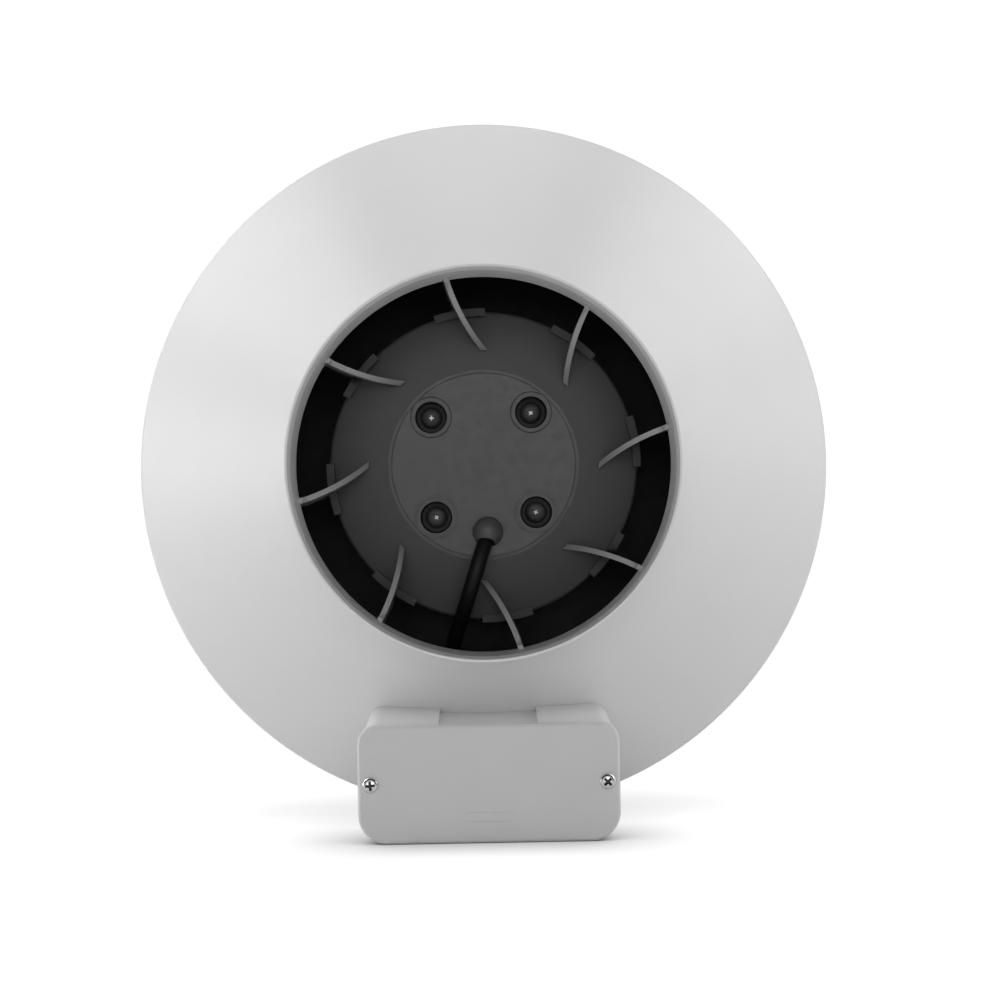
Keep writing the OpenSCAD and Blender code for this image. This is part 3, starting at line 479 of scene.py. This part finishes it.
def softened(node, width, angle=40, segments=2, shortest=1.0):
    """A copy of a CAD node's mesh with flat faces merged and its longer edges rounded."""
    bm = bmesh.new()
    bm.from_mesh(NODES[node].data)
    bmesh.ops.remove_doubles(bm, verts=bm.verts, dist=2e-6)
    bmesh.ops.dissolve_limit(bm, angle_limit=math.radians(0.5), verts=bm.verts, edges=bm.edges)
    edges = [e for e in bm.edges if len(e.link_faces) == 2 and e.calc_face_angle(0) > math.radians(angle)
             and e.calc_length() > shortest * MM]
    bmesh.ops.bevel(bm, geom=edges, offset=width * MM, offset_type="OFFSET", segments=segments,
                    profile=0.5, affect="EDGES", clamp_overlap=True)
    mesh = bpy.data.meshes.new(node)
    bm.to_mesh(mesh)
    bm.free()
    return mesh


def screw(head_r, head_h, shank_r, length, reach=0.62):
    """A pan-head screw along +Y from its seat at 0, with a tapered cross recess in its domed head.

    The recess reaches that share of the head's radius, and takes the second of the screw's materials.
    """
    crown = head_h * 0.3
    outline = [(0, -head_h)] + [
        (head_r * math.sin(a), -head_h + (head_h - crown) * (1 - math.cos(a)))
        for a in (math.radians(15 * k) for k in range(1, 7))]
    outline += [(head_r - 0.08, -0.08), (head_r - 0.2, 0), (shank_r, 0), (shank_r, length - 1.2 * shank_r),
                (0, length)]
    body = turned(outline, 48)
    arm = head_r * reach
    half = arm * 0.27

    def cross(scale, depth):
        a, b = arm * scale, half * scale
        corners = ((a, b), (b, b), (b, a), (-b, a), (-b, b), (-a, b),
                   (-a, -b), (-b, -b), (-b, -a), (b, -a), (b, -b), (a, -b))
        return [(x, depth, z) for x, z in corners]

    recess = lofted([cross(1.15, -head_h - 0.3), cross(0.6, -head_h * 0.3)])
    mesh = combined(body, [recess])
    for face in mesh.polygons:
        centre = face.center / MM
        across = math.hypot(centre.x, centre.z)
        sloped = abs(face.normal.y) < 0.6 and across < arm * 1.1
        bottom = across < arm * 0.7 and centre.y > -head_h * 0.5
        face.material_index = int(centre.y < -head_h * 0.2 and (sloped or bottom))
    return mesh


def smooth_route(points, steps=6):
    """The route with points added on a smooth curve through it."""
    out = []
    last = len(points) - 1
    for i in range(last):
        p0, p1, p2, p3 = (Vector(points[min(max(k, 0), last)]) for k in (i - 1, i, i + 1, i + 2))
        for k in range(steps):
            t = k / steps
            out.append(0.5 * ((2 * p1) + (p2 - p0) * t + (2 * p0 - 5 * p1 + 4 * p2 - p3) * t * t
                              + (3 * p1 - p0 - 3 * p2 + p3) * t ** 3))
    out.append(Vector(points[-1]))
    return out


def tube(points, r, sides=24):
    """A round cable along a route, its section carried along without twisting."""
    rings = []
    normal = Vector((1, 0, 0))
    for i, here in enumerate(points):
        along = (points[min(i + 1, len(points) - 1)] - points[max(i - 1, 0)]).normalized()
        normal = (normal - along * normal.dot(along)).normalized()
        other = along.cross(normal)
        rings.append([here + (normal * math.cos(a) + other * math.sin(a)) * r
                      for a in (math.tau * k / sides for k in range(sides))])
    return lofted(rings)


def on_both_sides(place):
    """What place(side) gives at the left and at the right."""
    return [place(side) for side in (-1, 1)]


# ---- casing ----

CONE = math.radians(41.6)
SPIGOT_R, SPIGOT_IN = 74.5, 72.5
CASING_R, CASING_IN, CASING_WALL = 143, 140.5, 2.5
OUTLET_LEN, INLET_AT, LENGTH = 27, 174, 198
SEAM, LAP_R, LAP_END, LAP_GAP = 98, 141.75, 102, 0.1


def cone_depth(r, under=0.0):
    """Depth of the outlet cone at a radius, a distance under its outer face."""
    return OUTLET_LEN + (r - SPIGOT_R) * math.tan(CONE) + under / math.cos(CONE)


def inlet_depth(r, under=0.0):
    """The same for the inlet cone."""
    return INLET_AT - (r - SPIGOT_R) * math.tan(CONE) - under / math.cos(CONE)


LIP, LIP_LEN = 0.95, 3.5
outlet_half = turned(rounded(
    [(SPIGOT_R, 0), (SPIGOT_R, OUTLET_LEN), (CASING_R, cone_depth(CASING_R)), (CASING_R, SEAM),
     (LAP_R, SEAM), (LAP_R, LAP_END), (CASING_IN, LAP_END), (CASING_IN, cone_depth(CASING_IN, CASING_WALL)),
     (SPIGOT_IN, cone_depth(SPIGOT_IN, CASING_WALL)), (SPIGOT_IN, LIP_LEN), (SPIGOT_IN + LIP, 0)],
    [0.35, 1.2, 4, 0.5, 0, 0.3, 0.3, 2, 0.8, 1, 0.3]))
BOX_SCREW_X, BOX_SCREW_Z, BOX_BOSS_R, BOX_HOLE_R = 34, -108, 4, 1.8
LEAD_CROSS_R, LEAD_CROSS_TURN, LEAD_HOLE_R, LEAD_HOLE_LEN = 116.2, math.radians(9.7), 4.5, 16


def at_box_screws(start, end, r):
    """A rod between two depths at each of the box's fixing screws."""
    return on_both_sides(lambda side: rod((side * BOX_SCREW_X, start, BOX_SCREW_Z),
                                          (side * BOX_SCREW_X, end, BOX_SCREW_Z), r))


crossing = Vector((-LEAD_CROSS_R * math.sin(LEAD_CROSS_TURN), cone_depth(LEAD_CROSS_R),
                   -LEAD_CROSS_R * math.cos(LEAD_CROSS_TURN)))
outward = Vector((crossing.x, 0, crossing.z)).normalized() * math.sin(CONE) - Vector((0, math.cos(CONE), 0))
reach = LEAD_HOLE_LEN / 2 * outward
bosses = at_box_screws(64, 78, BOX_BOSS_R)
holes = at_box_screws(50, 76, BOX_HOLE_R) + [rod(crossing - reach, crossing + reach, LEAD_HOLE_R)]
outlet_half = combined(combined(outlet_half, bosses, "UNION"), holes)
finish_piece(outlet_half, "casing_outlet_half", ["outlet_casing"])

inlet_half = turned(rounded(
    [(SPIGOT_R, LENGTH), (SPIGOT_R, INLET_AT), (CASING_R, inlet_depth(CASING_R)), (CASING_R, SEAM),
     (LAP_R + LAP_GAP, SEAM), (LAP_R + LAP_GAP, LAP_END + 1), (CASING_IN, LAP_END + 1),
     (CASING_IN, inlet_depth(CASING_IN, CASING_WALL)), (SPIGOT_IN, inlet_depth(SPIGOT_IN, CASING_WALL)),
     (SPIGOT_IN, LENGTH)],
    [0.35, 1.2, 4, 0.5, 0, 0, 0.3, 2, 0.8, 0.3]))
finish_piece(inlet_half, "casing_inlet_half", ["inlet_casing"])

# ---- motor plate, its screws and the lead ----

PLATE_DEPTH, FLAT_R, WELL_R = 40, 36.3, 8.2
GROOVE_W, GROOVE_DEPTH = 0.45, 1.0
SCREW_PITCH_R, SCREW_TURN, SCREW_SEAT = 27.8, 43, 45.95
BUSH_HOLE_R, BUSH_R, BUSH_FRONT, BUSH_BACK = 2.1, 6.2, 46, 51.45


def groove_ring(r, at=(0, 0, 0)):
    """The cutter for a fine groove round the plate's flat or round a well."""
    top, bottom = PLATE_DEPTH - 1, PLATE_DEPTH + GROOVE_DEPTH
    return moved(turned([(r - GROOVE_W, top), (r, top), (r, bottom), (r - GROOVE_W, bottom)], 128), at)


def around_screws(place, pitch_r=SCREW_PITCH_R, turn=SCREW_TURN):
    """What place(x, z, quarter) gives at each of four screws, by default the motor's."""
    spots = [(math.radians(turn + 90 * quarter), quarter) for quarter in range(4)]
    return [place(pitch_r * math.cos(a), -pitch_r * math.sin(a), quarter) for a, quarter in spots]


grooves = [groove_ring(FLAT_R)] + around_screws(lambda x, z, quarter: groove_ring(WELL_R, (x, 0, z)))
plate = combined(softened("motor_plate", 0.3), grooves)
finish_piece(plate, "motor_plate_moulded", ["motor_plate"], sharp=14)
finish_piece(softened("guide_vanes", 0.5), "guide_vanes_moulded", ["guide_vanes"])

bush = turned(rounded([(BUSH_HOLE_R, BUSH_FRONT), (BUSH_R, BUSH_FRONT), (BUSH_R, BUSH_BACK),
                       (BUSH_HOLE_R, BUSH_BACK)], [0.3, 0.9, 0.3, 0.2], 20), 64)
bushes = around_screws(lambda x, z, quarter: moved(bush, (x, 0, z)))
finish_piece(joined(bushes), "plate_bushes_moulded", ["plate_bushes"])

motor_screw = screw(4.2, 2.6, 2, 14, reach=0.36)
motor_screws = around_screws(lambda x, z, quarter: moved(motor_screw, (x, SCREW_SEAT, z), 20 + 35 * quarter))
finish_piece(joined(motor_screws), "motor_screws_formed", ["motor_screws"], extra=["lamination_steel"])

LEAD_R = 3
LEAD_ROUTE = [
    (1.6, 62.5, -15.8), (1.6, 58, -15.8), (1.6, 54.5, -15.8), (1.5, 51.2, -16.4), (1.4, 47.7, -18),
    (1.2, 44.9, -20.6), (0.9, 41.1, -25.3), (0.4, 38.2, -29), (-0.8, 35.6, -32.8), (-2.2, 33.9, -37),
    (-3.8, 33.3, -42), (-5.4, 33.9, -47), (-7, 35.9, -52), (-8.6, 39.2, -56.8), (-10.2, 43.4, -61.3),
    (-11.8, 48.4, -66), (-13.2, 53.8, -70.8), (-14.4, 59.2, -75.4), (-15.2, 64.5, -80), (-16, 69.6, -84.8),
    (-16.6, 73.8, -89.8), (-17.2, 76.3, -95.1), (-17.6, 76.4, -99.6), (-18, 74.9, -103.9),
    (-18.4, 72.1, -107.5), (-19.5, 64, -114.5), (-20.5, 57.3, -120.4)]
finish_piece(tube(smooth_route(LEAD_ROUTE), LEAD_R), "motor_lead_sheath", ["motor_lead"])

# ---- junction box ----

LID_HALF_W, LID_TOP, LID_BOTTOM, LID_FRONT, LID_BACK = 49.5, -98.5, -143, 7, 12
LID_FILLET, LID_WALL, LID_RIM = 1.4, 2.5, 3.2
LID_SCREW_X, LID_SCREW_Z, LID_BOSS_R, LID_HOLE_R = 44.7, -120.5, 3.2, 1.7
RECESS_HALF_W, RECESS_DROP = 19, 2
BAR_HALF_W, BAR_H, BAR_RISE, BAR_R, BAR_LEVELS = 9, 1.2, 0.25, 0.55, (-132.5, -136)


def box_ring(inset, depth, half_w=LID_HALF_W, top=LID_TOP, bottom=LID_BOTTOM, top_r=6.5, bottom_r=11,
             steps=10):
    """One ring of a box's rounded outline, by default the lid's, shrunk by an inset."""
    half_w, top, bottom = half_w - inset, top - inset, bottom + inset
    top_r, bottom_r = max(top_r - inset, 0.1), max(bottom_r - inset, 0.1)
    ring = []
    for x, z, r, start in ((half_w - bottom_r, bottom + bottom_r, bottom_r, -90),
                           (half_w - top_r, top - top_r, top_r, 0),
                           (top_r - half_w, top - top_r, top_r, 90),
                           (bottom_r - half_w, bottom + bottom_r, bottom_r, 180)):
        for k in range(steps + 1):
            a = math.radians(start + 90 * k / steps)
            ring.append((x + r * math.cos(a), depth, z + r * math.sin(a)))
    return ring


def fillet_rings(fillet, depth, steps=5):
    """(inset, depth) down a rounded edge."""
    return [(fillet * (1 - math.sin(a)), depth + fillet * (1 - math.cos(a)))
            for a in (math.radians(90 * k / steps) for k in range(steps + 1))]


def at_lid_screws(start, end, r):
    """A rod between two depths at each of the lid's screws."""
    return on_both_sides(lambda side: rod((side * LID_SCREW_X, start, LID_SCREW_Z),
                                          (side * LID_SCREW_X, end, LID_SCREW_Z), r))


lid = lofted([box_ring(*step) for step in fillet_rings(LID_FILLET, LID_FRONT)]
             + [box_ring(0, LID_BACK - 0.2), box_ring(0.2, LID_BACK)])
cavity = lofted([box_ring(LID_RIM, LID_FRONT + LID_WALL), box_ring(LID_RIM, LID_BACK + 1)])
tongue_half_w, tongue_bottom = RECESS_HALF_W + LID_RIM, LID_TOP - LID_RIM - RECESS_DROP
tongue = lofted([[(-tongue_half_w, depth, LID_TOP), (tongue_half_w, depth, LID_TOP),
                  (tongue_half_w, depth, tongue_bottom), (-tongue_half_w, depth, tongue_bottom)]
                 for depth in (LID_FRONT + 1, LID_BACK + 2)])
solid_parts = at_lid_screws(LID_FRONT + 1, LID_BACK + 2, LID_BOSS_R) + [tongue]
screw_holes = at_lid_screws(LID_FRONT - 1, LID_BACK + 1, LID_HOLE_R)
bar_steps = ((0.2, LID_FRONT - BAR_RISE), (0, LID_FRONT - BAR_RISE + 0.15), (0, LID_FRONT + 0.8))
bars = [lofted([box_ring(inset, depth, BAR_HALF_W, level + BAR_H, level, BAR_R, BAR_R, 5)
                for inset, depth in bar_steps]) for level in BAR_LEVELS]
lid = combined(combined(lid, [combined(cavity, solid_parts)]), bars, "UNION")
finish_piece(combined(lid, screw_holes), "box_lid_moulded", ["box_lid"], sharp=50)

finish_piece(softened("box_base", 0.6, shortest=1.2), "box_base_moulded", ["box_base"])

lid_screw = screw(3.05, 1.9, 1.45, 15)
lid_screws = on_both_sides(
    lambda side: moved(lid_screw, (side * LID_SCREW_X, LID_FRONT - 0.05, LID_SCREW_Z), 20 + side * 25))
finish_piece(joined(lid_screws), "lid_screws_formed", ["lid_screws"], extra=["black_steel"])

# ---- inlet side and impeller ----

finish_piece(softened("inlet_ring", 0.5), "inlet_ring_moulded", ["inlet_ring"])
finish_piece(softened("impeller", 0.4), "impeller_moulded", ["impeller"], "rotor")
finish_piece(softened("impeller_shroud", 0.5), "impeller_shroud_moulded", ["impeller_shroud"], "rotor")

FIXING_PITCH_R, FIXING_SEAT = 30, 121.05
FIXING_TURN, FIXING_STEP = 15, 40
fixing = screw(3.6, 2.4, 1.75, 8)
fixings = around_screws(
    lambda x, z, quarter: moved(fixing, (x, FIXING_SEAT, z), FIXING_TURN + FIXING_STEP * quarter, flip=True),
    FIXING_PITCH_R, 45)
finish_piece(joined(fixings), "impeller_screws_formed", ["impeller_screws"], "rotor", extra=["black_steel"])
